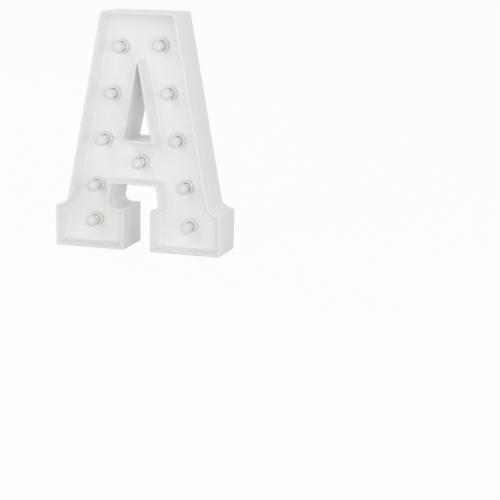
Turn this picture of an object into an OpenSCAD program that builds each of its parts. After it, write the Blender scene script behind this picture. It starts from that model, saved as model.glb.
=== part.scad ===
// Free-standing light-up letter A: an open-fronted plastic housing with small globe bulbs,
// a screwed back cover with a slide switch, and a battery bay for two AA cells.
// X runs to the right, Y runs from front to back and Z runs up. All sizes are in millimetres.

/* [Letter outline] */
// Overall height of the letter
letter_h = 220; // [205:1:260]
// Overall width across the two feet
letter_w = 162; // [158:1:190]
// Overall depth from the front rim to the back
letter_d = 45; // [40:0.5:60]
// Width of the flat top
top_w = 71; // [66:0.5:78]
// Level width of each leg
leg_w = 44.2; // [41:0.1:50]
// Lean of each leg from upright, in degrees
leg_lean = 10.8; // [10:0.1:11.5]
// Height of the crossbar's underside
crossbar_z = 62; // [58:0.5:70]
// Height of the crossbar itself
crossbar_h = 41; // [39.5:0.5:48]
// Height of each foot
foot_h = 38.5; // [32:0.5:44]
// Clear gap between the two feet
foot_gap = 26; // [18:0.5:32]
// How far the gap under the crossbar lies to the left of the middle
gap_shift = 3.6; // [0:0.1:4.5]
// Radius of the bracket on the outer side of each leg
outer_bracket_r = 12.5; // [6:0.5:15]
// Radius of the bracket on the inner side of each leg
inner_bracket_r = 6.5; // [3:0.5:8]

/* [Housing] */
// Thickness of the side walls
wall = 2.4; // [2:0.1:3]
// Thickness of the face that carries the bulbs
face_t = 2; // [1.6:0.1:2.5]
// Wall left standing around the back cover
rim_lip = 1.2; // [0.8:0.1:1.6]
// Diameter of each screw boss
boss_d = 6; // [5:0.1:8]
// Distance of a screw boss from the nearest edges of the letter
boss_inset = 12; // [10:0.5:15]

/* [Back cover] */
// Thickness of the back cover
cover_t = 2; // [1.8:0.1:2.5]
// Gap all round the back cover
cover_gap = 0.25; // [0.15:0.05:0.4]
// Diameter of a screw's shank
screw_d = 2.5; // [2:0.1:3]
// Length of a screw's shank under its head
screw_l = 9; // [6:0.5:14]
// Diameter of a screw's head
screw_head_d = 4.8; // [4.4:0.1:5.5]
// Height of a screw's head
screw_head_h = 1; // [0.7:0.1:1.2]
// Diameter of the round end of the keyhole
keyhole_d = 8; // [7:0.1:10]
// Width of the slot of the keyhole
keyhole_slot_w = 4.2; // [3.5:0.1:4.8]
// Length of the slot of the keyhole
keyhole_slot_l = 8; // [6:0.5:10]
// Distance of the keyhole's round end below the top
keyhole_drop = 21; // [18:0.5:24]

/* [Bulbs] */
// Diameter of a bulb's globe
globe_d = 10.6; // [9.5:0.1:12]
// Diameter of a bulb's neck
neck_d = 7.6; // [7.4:0.1:8]
// Wall of a bulb cap
cap_wall = 0.7; // [0.6:0.05:0.75]
// How far the globes stay behind the front rim
globe_setback = 0.2; // [0:0.1:3]
// Diameter of the collar round a bulb
collar_d = 12.4; // [12:0.1:14]
// Height of the collar above the face
collar_h = 4.5; // [3.5:0.1:5]
// Diameter of the open groove inside the collar
groove_d = 9; // [8.8:0.1:9.4]
// Height of a cap's seat above the face
cap_seat_h = 1; // [0.6:0.1:1.5]
// Diameter of a socket's barrel through the face
barrel_d = 10.6; // [10.4:0.1:10.8]
// Width of a socket's snap lip beyond its bore
lip_overhang = 0.3; // [0.2:0.05:0.5]
// Height of a socket's snap lip
lip_h = 1; // [0.6:0.1:1.4]
// Diameter of an LED
led_d = 5; // [4.6:0.1:5.2]
// Length of an LED from its flange to its tip
led_l = 8.6; // [8:0.1:9.5]
// Distance of the top row of bulbs below the top
bulb_top_drop = 31.4; // [28:0.1:34]
// Spacing of the bulb rows down the legs
bulb_pitch = 43.2; // [40:0.1:45]
// How much higher the right leg's bulbs sit than the left leg's
bulb_stagger = 2.4; // [0:0.1:3]
// How far the bulbs of the legs and the crossbar lie to the left of the middle
bulb_shift = 1.2; // [0:0.1:2]
// Height of the bulb in each foot
foot_bulb_z = 24; // [18:0.5:28]
// Height of the crossbar's bulb above its underside
bar_bulb_rise = 19.5; // [15:0.5:24]

/* [Battery bay] */
// Diameter of a battery cell
cell_d = 14.5; // [14:0.1:14.8]
// Length of a battery cell with its button
cell_l = 50.5; // [49.5:0.1:51]
// Wall of the battery bay
bay_wall = 1.5; // [1.2:0.1:1.6]
// Gap beside each cell
cell_gap = 0.4; // [0.2:0.05:0.6]
// Thickness of the battery door
door_t = 1.6; // [1.4:0.1:1.8]
// Gap all round the battery door
door_gap = 0.3; // [0.2:0.05:0.4]
// Length of the door's rest beyond the bay
door_rest = 2; // [1.5:0.1:3]
// Radius of the door's rolled hinge edge
bead_r = 1.5; // [1.3:0.05:1.7]
// Diameter of the door's hinge pins
pin_d = 1.8; // [1.4:0.1:2]
// Running gap round a hinge pin
pin_gap = 0.06; // [0.03:0.01:0.1]
// Thickness of the metal contacts
contact_t = 0.4; // [0.3:0.05:0.6]
// Height of a contact's raised nub
nub_h = 0.8; // [0.5:0.1:1.2]
// Length of a fitted battery spring
spring_l = 5.4; // [5:0.1:7]
// Wire diameter of a battery spring
spring_wire_d = 0.7; // [0.5:0.05:0.7]
// Number of turns of a battery spring
spring_turns = 4; // [3:1:4]

/* [Switch] */
// Distance of the switch from the middle of the letter
switch_x = 46; // [43:0.5:48]
// Travel of the switch knob
switch_travel = 3; // [2:0.1:4]
// Width of the well round the knob
well_w = 12; // [10:0.5:14]
// Length of the well round the knob
well_l = 16; // [15:0.5:20]
// Depth of the well round the knob
well_depth = 3; // [2.6:0.1:4]
// Width of the switch can
can_w = 6; // [5.6:0.1:8]
// Length of the switch can
can_l = 12; // [11:0.1:13]
// Height of the switch can
can_h = 5; // [4:0.1:6]

/* [Hidden] */
$fn = 48;
// Bulbs in rows from the top: left and right leg in turn, the crossbar's bulb after the third row
BULBS = 11;

// Small clearances shared by the fits
// How far a cut runs past a surface
cut = 1;
// How far joined shapes run into each other
lap = 0.4;
// How far an arc cuts across the straight line that it runs into
arc_bite = 0.02;
// Gap of pieces that are pushed together
seat_gap = 0.05;
// Gap of pieces that slide into a hole
slip_gap = 0.1;
// Gap of the switch knob in its can
slide_gap = 0.2;

// Parts that lie one behind another between the face and the back
// Front side of a socket's snap lip, as a height above the face
lip_z = -face_t - slip_gap;
// Barrel behind the snap lip
socket_tail = 0.5;
socket_back_z = lip_z - lip_h - socket_tail;
// Distance of the loom behind the sockets, and half the height of its drops of solder
loom_drop = 1.5;
solder_half_h = 1.2;
// Gap between the loom's solder and the battery bay
loom_clear = 0.6;
bay_floor_t = 1.2;

// Depth planes, set from the back to the front
back_y = letter_d / 2;
cover_y = back_y - cover_t;
door_y = back_y - door_t;
cell_y = door_y - cell_gap - cell_d / 2;
bay_floor_y = cell_y - cell_d / 2 - cell_gap;
loom_y = bay_floor_y - bay_floor_t - loom_clear - solder_half_h;
face_y = loom_y - loom_drop + socket_back_z;
face_back_y = face_y + face_t;
front_y = -letter_d / 2;
// Depth of the open front, from the rim to the face
recess = face_y - front_y;

// The legs' sloping lines
lean = tan(leg_lean);
slant = 1 / cos(leg_lean);
apex_z = letter_h - (leg_w - top_w / 2) / lean;
function outer_x(z, d) = top_w / 2 + lean * (letter_h - z) - d * slant;
function inner_x(z, d) = lean * (apex_z - z) + d * slant;
function leg_middle_x(z) = inner_x(z, 0) + leg_w / 2;
// The same inner line below the crossbar, where side is 1 on the right leg and -1 on the left leg
function gap_x(z, d, side) = inner_x(z, d) - side * gap_shift;

// Bulb places: each is [x, z, direction of the positive lead in degrees]
function bulb_row_z(row) = letter_h - bulb_top_drop - row * bulb_pitch;
function leg_bulb_z(row, side) = bulb_row_z(row) + side * bulb_stagger / 2;
function leg_bulb(row, side, turn) = [
    side * leg_middle_x(leg_bulb_z(row, side)) - bulb_shift,
    leg_bulb_z(row, side),
    turn
];
foot_middle_x = (letter_w + foot_gap) / 4;
bulbs = [
    leg_bulb(0, -1, 135),
    leg_bulb(0, 1, 45),
    leg_bulb(1, -1, 180),
    leg_bulb(1, 1, 0),
    leg_bulb(2, -1, 180),
    leg_bulb(2, 1, -25),
    [-bulb_shift, crossbar_z + bar_bulb_rise, 90],
    leg_bulb(3, -1, 180),
    leg_bulb(3, 1, 0),
    [-foot_middle_x, foot_bulb_z, 180],
    [foot_middle_x, foot_bulb_z, 0]
];

// Screw bosses: by the top corners, on the inner side of each leg and by the feet's outer corners
leg_boss_z = (bulb_row_z(1) + bulb_row_z(2)) / 2;
half_bosses = [
    [top_w / 2 - boss_inset, letter_h - boss_inset],
    [inner_x(leg_boss_z, 0) + boss_inset, leg_boss_z],
    [letter_w / 2 - boss_inset, boss_inset]
];
bosses = [for (side = [-1, 1]) for (p = half_bosses) [side * p[0], p[1]]];

// Cross recess of a screw, as shares of its head's diameter
cross_l_share = 0.6;
cross_w_share = 0.15;

// Sizes of a bulb's parts; the heights are above the face
// Post that a cap pushes over
post_d = neck_d - 2 * cap_wall - 2 * seat_gap;
// Middle of the globe
globe_z = recess - globe_setback - globe_d / 2;
// Spokes that carry the post
spoke_w = 1.6;
spoke_h = 1.2;
// Flange at the foot of an LED
led_flange_rim = 0.4;
led_flange_d = led_d + 2 * led_flange_rim;
led_flange_t = 1;
// Leads of an LED: square wires that end just past the loom
lead_w = 0.5;
lead_pitch = 2.54;
lead_past_loom = 0.8;
lead_end_z = socket_back_z - loom_drop - lead_past_loom;

// Wiring
// Radius of a wire with its insulation
wire_r = 0.6;
// How far a wire stops short of the middle of its solder
wire_trim = 0.8;
// Radius of a drop of solder
solder_r = 1.1;
// Radius of the hole for an LED lead
lead_hole_r = 0.4;
// Pairs of bulbs that are joined by a wire
positive_links = [[10, 8], [8, 5], [5, 3], [3, 1], [1, 2], [2, 4], [4, 6], [6, 9], [9, 11], [6, 7]];
negative_links = [[10, 8], [8, 5], [5, 3], [3, 1], [1, 2], [2, 4], [4, 6], [5, 7], [7, 9], [9, 11]];
// Bulb that the feed wires run to
FEED_BULB = 9;
function lead_point(i, way) = [
    bulbs[i - 1][0] + way * lead_pitch / 2 * cos(bulbs[i - 1][2]),
    loom_y,
    bulbs[i - 1][1] + way * lead_pitch / 2 * sin(bulbs[i - 1][2])
];

// Battery bay, with its middle on the crossbar
bay_z = crossbar_z + crossbar_h / 2;
bay_half_l = (cell_l + spring_l + nub_h + 2 * contact_t + 4 * seat_gap) / 2;
bay_half_w = cell_d + 1.5 * cell_gap;
// Hinge line, set clear of the end of the bay
hinge_clear = 0.7;
hinge_x = -bay_half_l - bead_r - door_gap - hinge_clear;
hinge_y = back_y - bead_r;
// Free end and half width of the door
door_end_x = bay_half_l + door_rest;
door_half_w = bay_half_w - door_gap;
// Length of a hinge pin in its wall
pin_reach = bay_wall - slip_gap;
// Distance of each cell from the middle of the bay
cell_z = (cell_d + cell_gap) / 2;
// Ribs under the cells
cradle_t = 1.6;
cradle_x = bay_half_l / 2;
// Hollow for a fingertip beside the door
finger_notch_r = 6;
finger_notch_t = 1;
// Stiffening rib and snap tongue inside the door
rib_t = 1.2;
rib_h = 2;
rib_end_gap = 2;
tongue_w = 4;
tongue_t = 1;
tongue_h = 4;
// Finger grooves in the door, counted from its free end
GRIPS = 4;
grip_w = 1.2;
grip_t = 0.5;
grip_l = 16;
grip_step = 2.4;
grip_end = 3;

// Contacts
contact_h = 12;
contact_w = 10;
// Raised nub, with the width of its tip as a share of its foot
nub_r = 1.6;
nub_taper = 0.8;
// Solder tabs that come out of the bay
tab_w = 3;
tab_out = 2.5;
tab_y = cell_y - contact_h / 2;
tab_x = bay_half_l + bay_wall + tab_out;
tab_solder_x = tab_x - tab_out / 2;

// Switch
switch_z = bay_z;
// Well in the cover, and its floor that the switch hangs under
well_corner_r = 3;
well_floor_y = back_y - well_depth;
well_floor_t = 1.5;
// Flange with an ear at each end, held by melted pins
flange_y = well_floor_y - well_floor_t;
flange_t = 0.5;
ear_l = 4;
flange_l = can_l + 2 * ear_l;
stake_d = 1.8;
stake_head = 0.6;
stake_z = (can_l + flange_l) / 4;
// Metal over the slider
can_skin = 0.5;
// Knob, kept below the well's edge, and the slider that it stands on
knob_w = 3;
knob_l = 3.6;
knob_setback = 0.5;
knob_y = back_y - knob_setback;
slider_side = 0.7;
slider_end = 0.8;
slider_w = knob_w + 2 * slider_side;
slider_l = knob_l + 2 * slider_end;
slider_h = 1.6;
// Terminal pins
terminal_r = 0.4;
terminal_l = 3;
terminal_step = 3;
terminal_y = flange_y - flange_t - can_h;
terminal_solder_drop = 2.1;
terminal_solder_y = terminal_y - terminal_solder_drop;

// Ends of the feed wires: at the switch's outer terminals, and on the tabs of the contacts
function terminal_point(way) = [switch_x, terminal_solder_y, switch_z + way * terminal_step];
function tab_point(way) = [
    tab_solder_x,
    (way > 0 ? tab_y + contact_t : tab_y) + way * (wire_r + seat_gap),
    bay_z + way * cell_z
];

// Battery springs: one tube along a cone, with its least gap to itself measured on the rings
spring_base_r = 4.4;
spring_tip_r = 2.8;
rings_per_turn = 8;
tube_sides = 6;
spring_rings = spring_turns * rings_per_turn;
function spring_r(t) = spring_base_r + (spring_tip_r - spring_base_r) * t;
function spring_point(i) = let (t = i / spring_rings, a = 360 * i / rings_per_turn)
    [
        spring_r(t) * cos(a),
        spring_r(t) * sin(a),
        spring_wire_d / 2 + (spring_l - spring_wire_d) * t
    ];
spring_path = [for (i = [0 : spring_rings]) spring_point(i)];
spring_gap = min([
    for (i = [0 : spring_rings])
        for (j = [i + rings_per_turn / 2 : 1 : spring_rings])
            norm(spring_path[i] - spring_path[j])
]) - spring_wire_d;
echo(spring_gap_to_itself = spring_gap);

// General shapes

// A flat shape drawn in X and Z, thickened from y0 back to y1
module slab(y0, y1) {
    translate([0, y1, 0]) rotate([90, 0, 0]) linear_extrude(y1 - y0) children();
}

// A round bar along Y at the place p = [x, z]
module bar_y(p, y0, y1, r) {
    translate([p[0], y1, p[1]]) rotate([90, 0, 0]) cylinder(h = y1 - y0, r = r);
}

// A box from its lowest corner to its highest corner
module block(low, high) {
    translate(low) cube(high - low);
}

// A round bar between two points
module rod(p, q, r) {
    v = q - p;
    translate(p) rotate([0, acos(v[2] / norm(v)), atan2(v[1], v[0])]) cylinder(h = norm(v), r = r);
}

// A tube of straight-sided rings along a path that goes round the Z axis
function ring_frame(path, i) = let (
        ahead = path[min(i + 1, len(path) - 1)] - path[max(i - 1, 0)],
        along = ahead / norm(ahead),
        side = cross(along, [0, 0, 1]) / norm(cross(along, [0, 0, 1]))
    ) [side, cross(side, along)];
module tube(path, r) {
    last = len(path) - 1;
    n = tube_sides;
    points = [
        for (i = [0 : last])
            for (k = [0 : n - 1])
                let (f = ring_frame(path, i), a = 360 * k / n)
                path[i] + r * (cos(a) * f[0] + sin(a) * f[1])
    ];
    sides = [
        for (i = [0 : last - 1])
            for (k = [0 : n - 1])
                let (a = i * n + k, b = i * n + (k + 1) % n)
                for (face = [[a, b, a + n], [b, b + n, a + n]]) face
    ];
    start_cap = [for (k = [1 : n - 2]) [0, k + 1, k]];
    end_cap = [for (k = [1 : n - 2]) [last * n, last * n + k, last * n + k + 1]];
    polyhedron(points = points, faces = concat(sides, start_cap, end_cap));
}

// The letter's outline, moved inwards by d

// Half of the outline from the top corner round to the crossbar, without the brackets
function half_outline(d, side) = [
    [outer_x(letter_h - d, d), letter_h - d],
    [outer_x(foot_h - d, d), foot_h - d],
    [letter_w / 2 - d, foot_h - d],
    [letter_w / 2 - d, d],
    [foot_gap / 2 + d, d],
    [foot_gap / 2 + d, foot_h - d],
    [gap_x(foot_h - d, d, side), foot_h - d],
    [gap_x(crossbar_z + d, d, side), crossbar_z + d]
];

// Concave fillet in the corner of a leg and its foot, with its arc's middle kept in place
module bracket_2d(corner, middle, r, toward_leg) {
    in_corner = corner + lap * toward_leg - [0, lap];
    in_leg = middle + (r + lap) * toward_leg;
    in_foot = [middle[0], corner[1] - lap];
    difference() {
        polygon([in_corner, in_leg, middle, in_foot]);
        translate(middle) circle(r + arc_bite);
    }
}

module outer_bracket_2d(d) {
    z = foot_h + outer_bracket_r;
    middle = [outer_x(z, 0) + outer_bracket_r * slant, z];
    corner = [outer_x(foot_h - d, d), foot_h - d];
    intersection() {
        bracket_2d(corner, middle, outer_bracket_r + d, -[1, lean] / slant);
        square([letter_w / 2 - d, letter_h]);
    }
}

module inner_bracket_2d(d, side) {
    z = foot_h + inner_bracket_r;
    middle = [gap_x(z, 0, side) - inner_bracket_r * slant, z];
    corner = [gap_x(foot_h - d, d, side), foot_h - d];
    intersection() {
        bracket_2d(corner, middle, inner_bracket_r + d, [1, lean] / slant);
        translate([foot_gap / 2 + d, 0]) square([letter_w, crossbar_z]);
    }
}

// The closed triangle above the crossbar, grown by d with a round top
module counter_2d(d) {
    base_z = crossbar_z + crossbar_h - d;
    touch = [0, apex_z] + d * [1, lean] / slant;
    base_x = inner_x(base_z, d);
    polygon(d > 0
        ? [[-touch[0], touch[1]], touch, [base_x, base_z], [-base_x, base_z]]
        : [[0, apex_z], [base_x, base_z], [-base_x, base_z]]);
    if (d > 0) {
        translate([0, apex_z]) circle(d + arc_bite);
    }
}

module letter_2d(d) {
    right = half_outline(d, 1);
    flipped = half_outline(d, -1);
    left = [for (i = [len(flipped) - 1 : -1 : 0]) [-flipped[i][0], flipped[i][1]]];
    difference() {
        union() {
            polygon(concat(right, left));
            for (side = [-1, 1]) {
                mirror([1 - side, 0]) outer_bracket_2d(d);
                mirror([1 - side, 0]) inner_bracket_2d(d, side);
            }
        }
        counter_2d(d);
    }
}

// Housing and back cover

module front_shell() {
    color("whitesmoke")
    difference() {
        union() {
            slab(front_y, back_y) difference() {
                letter_2d(0);
                letter_2d(wall);
            }
            slab(face_y, face_back_y) letter_2d(wall / 2);
            for (p = bosses) {
                bar_y(p, face_back_y - lap, cover_y, boss_d / 2);
            }
        }
        slab(cover_y, back_y + cut) letter_2d(rim_lip);
        for (b = bulbs) {
            bar_y(b, face_y - cut, face_back_y + cut, barrel_d / 2 + slip_gap);
        }
        for (p = bosses) {
            bar_y(p, cover_y - screw_l, cover_y + cut, screw_d / 2 + seat_gap);
        }
    }
}

// The moulded box behind the cover that holds the cells, with the hinge trough and the door's rest
module bay_outside() {
    low_z = bay_z - bay_half_w - bay_wall;
    high_z = bay_z + bay_half_w + bay_wall;
    top_y = cover_y + lap;
    trough_x = hinge_x - bead_r - door_gap - bay_wall;
    trough_y = hinge_y - bead_r - door_gap - bay_wall;
    rest_x = door_end_x + door_gap + bay_wall;
    block(
        [-bay_half_l - bay_wall, bay_floor_y - bay_floor_t, low_z],
        [bay_half_l + bay_wall, top_y, high_z]
    );
    block([trough_x, trough_y, low_z], [-bay_half_l, top_y, high_z]);
    block([bay_half_l, door_y - bay_wall, low_z], [rest_x, top_y, high_z]);
}

module bay_inside() {
    low_z = bay_z - bay_half_w;
    high_z = bay_z + bay_half_w;
    top_y = back_y + cut;
    trough_x = hinge_x - bead_r - door_gap;
    trough_y = hinge_y - bead_r - door_gap;
    slit = [seat_gap, seat_gap, seat_gap];
    block([-bay_half_l, bay_floor_y, low_z], [bay_half_l, top_y, high_z]);
    block([trough_x, trough_y, low_z], [lap - bay_half_l, top_y, high_z]);
    block([bay_half_l - lap, door_y, low_z], [door_end_x + door_gap, top_y, high_z]);
    translate([hinge_x, hinge_y, low_z - pin_reach - slip_gap])
        cylinder(h = 2 * (bay_half_w + pin_reach + slip_gap), d = pin_d + 2 * pin_gap);
    bar_y([door_end_x + door_gap, bay_z], back_y - finger_notch_t, top_y, finger_notch_r);
    for (side = [-1, 1]) {
        z = bay_z + side * cell_z;
        block(
            [bay_half_l - lap, tab_y, z - tab_w / 2] - slit,
            [bay_half_l + bay_wall + cut, tab_y + contact_t, z + tab_w / 2] + slit
        );
    }
}

// Ribs that carry the cells
module cell_cradles() {
    for (x = [-cradle_x, cradle_x]) {
        difference() {
            block(
                [x - cradle_t / 2, bay_floor_y - lap, bay_z - bay_half_w - lap],
                [x + cradle_t / 2, cell_y - cell_d / 4, bay_z + bay_half_w + lap]
            );
            for (side = [-1, 1]) {
                translate([x - cradle_t, cell_y, bay_z + side * cell_z])
                    rotate([0, 90, 0]) cylinder(h = 2 * cradle_t, d = cell_d + 2 * slip_gap);
            }
        }
    }
}

// Rectangle in X and Z with round corners
module round_rect(w, l, r) {
    square([w - 2 * r, l], center = true);
    square([w, l - 2 * r], center = true);
    for (x = [r - w / 2, w / 2 - r]) {
        for (z = [r - l / 2, l / 2 - r]) {
            translate([x, z]) circle(r);
        }
    }
}

module switch_well_outside() {
    slab(flange_y, cover_y + lap) translate([switch_x, switch_z])
        round_rect(well_w + 2 * bay_wall, well_l + 2 * bay_wall, well_corner_r + bay_wall);
}

module switch_well_inside() {
    slab(well_floor_y, back_y + cut) translate([switch_x, switch_z])
        round_rect(well_w, well_l, well_corner_r);
    block(
        [
            switch_x - knob_w / 2 - door_gap,
            flange_y - cut,
            switch_z - (knob_l + switch_travel) / 2 - door_gap
        ],
        [
            switch_x + knob_w / 2 + door_gap,
            well_floor_y + cut,
            switch_z + (knob_l + switch_travel) / 2 + door_gap
        ]
    );
}

// Melted pins that hold the switch's flange
module switch_stakes() {
    for (side = [-1, 1]) {
        p = [switch_x, switch_z + side * stake_z];
        bar_y(p, flange_y - flange_t - stake_head, flange_y + lap, stake_d / 2);
    }
}

module keyhole() {
    z = letter_h - keyhole_drop;
    bar_y([0, z], cover_y - cut, back_y + cut, keyhole_d / 2);
    bar_y([0, z + keyhole_slot_l], cover_y - cut, back_y + cut, keyhole_slot_w / 2);
    block(
        [-keyhole_slot_w / 2, cover_y - cut, z],
        [keyhole_slot_w / 2, back_y + cut, z + keyhole_slot_l]
    );
}

module back_cover() {
    color("whitesmoke")
    union() {
        difference() {
            union() {
                slab(cover_y, back_y) letter_2d(rim_lip + cover_gap);
                bay_outside();
                switch_well_outside();
            }
            bay_inside();
            switch_well_inside();
            keyhole();
            for (p = bosses) {
                bar_y(p, cover_y - cut, back_y + cut, screw_d / 2 + slip_gap);
                bar_y(p, back_y - screw_head_h - slip_gap, back_y + cut, screw_head_d / 2 + slip_gap);
            }
        }
        cell_cradles();
        switch_stakes();
    }
}

// Cross-headed screws that hold the back cover
module cover_screws() {
    head_y = back_y - slip_gap;
    cross_l = screw_head_d * cross_l_share;
    cross_w = screw_head_d * cross_w_share;
    color("silver")
    for (p = bosses) {
        difference() {
            union() {
                bar_y(p, head_y - screw_head_h, head_y, screw_head_d / 2);
                bar_y(p, head_y - screw_head_h - screw_l + cut, head_y - lap, screw_d / 2);
            }
            for (turn = [0, 90]) {
                translate([p[0], head_y, p[1]]) rotate([0, turn, 0])
                    cube([cross_l, screw_head_h, cross_w], center = true);
            }
        }
    }
}

// Battery door, hinged on its rolled edge, with finger grooves, a stiffening rib and a snap tongue
module battery_door() {
    rib_x = bay_half_l - tongue_t - rib_end_gap;
    tongue_x = bay_half_l - contact_t - tongue_t;
    color("whitesmoke")
    union() {
        difference() {
            block(
                [hinge_x, door_y, bay_z - door_half_w],
                [door_end_x, back_y, bay_z + door_half_w]
            );
            for (i = [0 : GRIPS - 1]) {
                x = door_end_x - grip_end - i * grip_step;
                block(
                    [x - grip_w / 2, back_y - grip_t, bay_z - grip_l / 2],
                    [x + grip_w / 2, back_y + cut, bay_z + grip_l / 2]
                );
            }
        }
        translate([hinge_x, hinge_y, bay_z - door_half_w])
            cylinder(h = 2 * door_half_w, r = bead_r);
        translate([hinge_x, hinge_y, bay_z - bay_half_w - pin_reach])
            cylinder(h = 2 * (bay_half_w + pin_reach), d = pin_d);
        block([-rib_x, door_y - rib_h, bay_z - rib_t / 2], [rib_x, door_y + lap, bay_z + rib_t / 2]);
        block(
            [tongue_x, door_y - tongue_h, bay_z - tongue_w / 2],
            [tongue_x + tongue_t, door_y + lap, bay_z + tongue_w / 2]
        );
    }
}

// Slide switch

module switch_body() {
    slot_l = knob_l + switch_travel + 2 * slide_gap;
    room_l = slider_l + switch_travel + 2 * slide_gap;
    room_y = flange_y - can_skin;
    color("silver")
    difference() {
        union() {
            block(
                [switch_x - can_w / 2, terminal_y, switch_z - can_l / 2],
                [switch_x + can_w / 2, flange_y, switch_z + can_l / 2]
            );
            block(
                [switch_x - can_w / 2, flange_y - flange_t, switch_z - flange_l / 2],
                [switch_x + can_w / 2, flange_y, switch_z + flange_l / 2]
            );
            for (step = [-terminal_step, 0, terminal_step]) {
                bar_y([switch_x, switch_z + step], terminal_y - terminal_l, terminal_y + lap, terminal_r);
            }
        }
        for (side = [-1, 1]) {
            p = [switch_x, switch_z + side * stake_z];
            bar_y(p, flange_y - flange_t - cut, flange_y + cut, stake_d / 2 + slip_gap);
        }
        block(
            [switch_x - knob_w / 2 - slide_gap, room_y - lap, switch_z - slot_l / 2],
            [switch_x + knob_w / 2 + slide_gap, flange_y + cut, switch_z + slot_l / 2]
        );
        block(
            [switch_x - slider_w / 2 - slide_gap, room_y - slider_h - 2 * slide_gap, switch_z - room_l / 2],
            [switch_x + slider_w / 2 + slide_gap, room_y, switch_z + room_l / 2]
        );
    }
}

// Knob with its foot inside the can, drawn at the low end of its travel
module switch_slider() {
    z = switch_z - switch_travel / 2;
    foot_y = flange_y - can_skin - slide_gap;
    ridge = 0.5;
    color("dimgray")
    difference() {
        union() {
            block(
                [switch_x - slider_w / 2, foot_y - slider_h, z - slider_l / 2],
                [switch_x + slider_w / 2, foot_y, z + slider_l / 2]
            );
            block(
                [switch_x - knob_w / 2, foot_y - lap, z - knob_l / 2],
                [switch_x + knob_w / 2, knob_y, z + knob_l / 2]
            );
        }
        for (step = [-2 * ridge, 0, 2 * ridge]) {
            translate([switch_x - knob_w, knob_y, z + step])
                rotate([0, 90, 0]) cylinder(h = 2 * knob_w, d = ridge, $fn = 16);
        }
    }
}

// Cells, springs and contacts

// A cell along X with its button pointing to side; end_x is the tip of the button
module battery_cell(side, z) {
    r = cell_d / 2;
    edge = 0.6;
    button_r = 2.75;
    button_h = 1.3;
    end_x = side * (bay_half_l - seat_gap - contact_t - nub_h - seat_gap);
    body_l = cell_l - button_h;
    color(side > 0 ? "goldenrod" : "darkgoldenrod")
    translate([end_x, cell_y, z]) rotate([0, side * 90, 0]) translate([0, 0, -cell_l])
        rotate_extrude() polygon([
            [0, 0],
            [r - edge, 0],
            [r, edge],
            [r, body_l - edge],
            [r - edge, body_l],
            [button_r, body_l],
            [button_r, cell_l - edge / 2],
            [button_r - edge / 2, cell_l],
            [0, cell_l]
        ]);
}

// A conical spring on the contact at the end named by side
module battery_spring(side, z) {
    base_x = side * (bay_half_l - seat_gap - contact_t);
    color("silver")
    translate([base_x, cell_y, z]) rotate([0, -side * 90, 0]) tube(spring_path, spring_wire_d / 2);
}

module contact_plate(side, low_z, high_z) {
    wall_x = side * (bay_half_l - seat_gap);
    cell_x = wall_x - side * contact_t;
    block(
        [min(wall_x, cell_x), cell_y - contact_h / 2, low_z],
        [max(wall_x, cell_x), cell_y + contact_h / 2, high_z]
    );
}

module contact_nub(side, z) {
    x = side * (bay_half_l - seat_gap - contact_t / 2);
    translate([x, cell_y, z]) rotate([0, -side * 90, 0])
        cylinder(h = contact_t / 2 + nub_h, r1 = nub_r, r2 = nub_r * nub_taper);
}

// Solder tab bent out through the end wall of the bay
module contact_tab(z) {
    block(
        [bay_half_l - seat_gap - contact_t, tab_y, z - tab_w / 2],
        [tab_x, tab_y + contact_t, z + tab_w / 2]
    );
}

module contact_positive() {
    z = bay_z + cell_z;
    color("gainsboro")
    union() {
        contact_plate(1, z - contact_w / 2, z + contact_w / 2);
        contact_nub(1, z);
        contact_tab(z);
    }
}

module contact_negative() {
    z = bay_z - cell_z;
    color("gainsboro")
    union() {
        contact_plate(1, z - contact_w / 2, z + contact_w / 2);
        contact_tab(z);
    }
}

// One plate that joins the two cells at the hinge end
module contact_bridge() {
    reach = cell_z + contact_w / 2;
    color("gainsboro")
    union() {
        contact_plate(-1, bay_z - reach, bay_z + reach);
        contact_nub(-1, bay_z - cell_z);
    }
}

// Wires with a drop of solder at each end, left open for the pin or tab that it holds

// A drop of solder along Y, reaching from below its middle to above it
module solder(p, below, above) {
    bar_y([p[0], p[2]], p[1] - below, p[1] + above, solder_r);
}

// A wire that stops inside the drops of solder at both of its ends
module wire(p, q) {
    along = (q - p) / norm(q - p);
    rod(p + wire_trim * along, q - wire_trim * along, wire_r);
}

// All the wires of one pole, fed from one point; the holes take the LED leads
module loom(links, way, feed_point) {
    difference() {
        union() {
            for (link = links) {
                wire(lead_point(link[0], way), lead_point(link[1], way));
            }
            for (i = [1 : BULBS]) {
                solder(lead_point(i, way), solder_half_h, solder_half_h);
            }
            wire(feed_point, lead_point(FEED_BULB, way));
        }
        for (i = [1 : BULBS]) {
            p = lead_point(i, way);
            bar_y([p[0], p[2]], loom_y - 2 * solder_half_h, loom_y + 2 * solder_half_h, lead_hole_r);
        }
    }
}

// Solder round a switch terminal, on the side named by way
module terminal_solder(way) {
    p = terminal_point(way);
    difference() {
        solder(p, solder_half_h, solder_half_h);
        bar_y([p[0], p[2]], p[1] - 2 * solder_half_h, p[1] + 2 * solder_half_h, terminal_r + seat_gap);
    }
}

module wire_loom_positive() {
    p = terminal_point(-1);
    color("firebrick")
    union() {
        loom(positive_links, 1, p);
        terminal_solder(-1);
    }
}

module wire_loom_negative() {
    p = tab_point(-1);
    color("black")
    union() {
        loom(negative_links, -1, p);
        solder(p, solder_half_h, wire_r);
    }
}

module switch_lead() {
    color("firebrick")
    union() {
        wire(tab_point(1), terminal_point(1));
        solder(tab_point(1), wire_r, solder_half_h);
        terminal_solder(1);
    }
}

// Bulbs: each is drawn pointing up from the face at its middle, then set in place

module at_bulb(i) {
    b = bulbs[i - 1];
    translate([b[0], face_y, b[1]]) rotate([90, 0, 0]) children();
}

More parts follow.
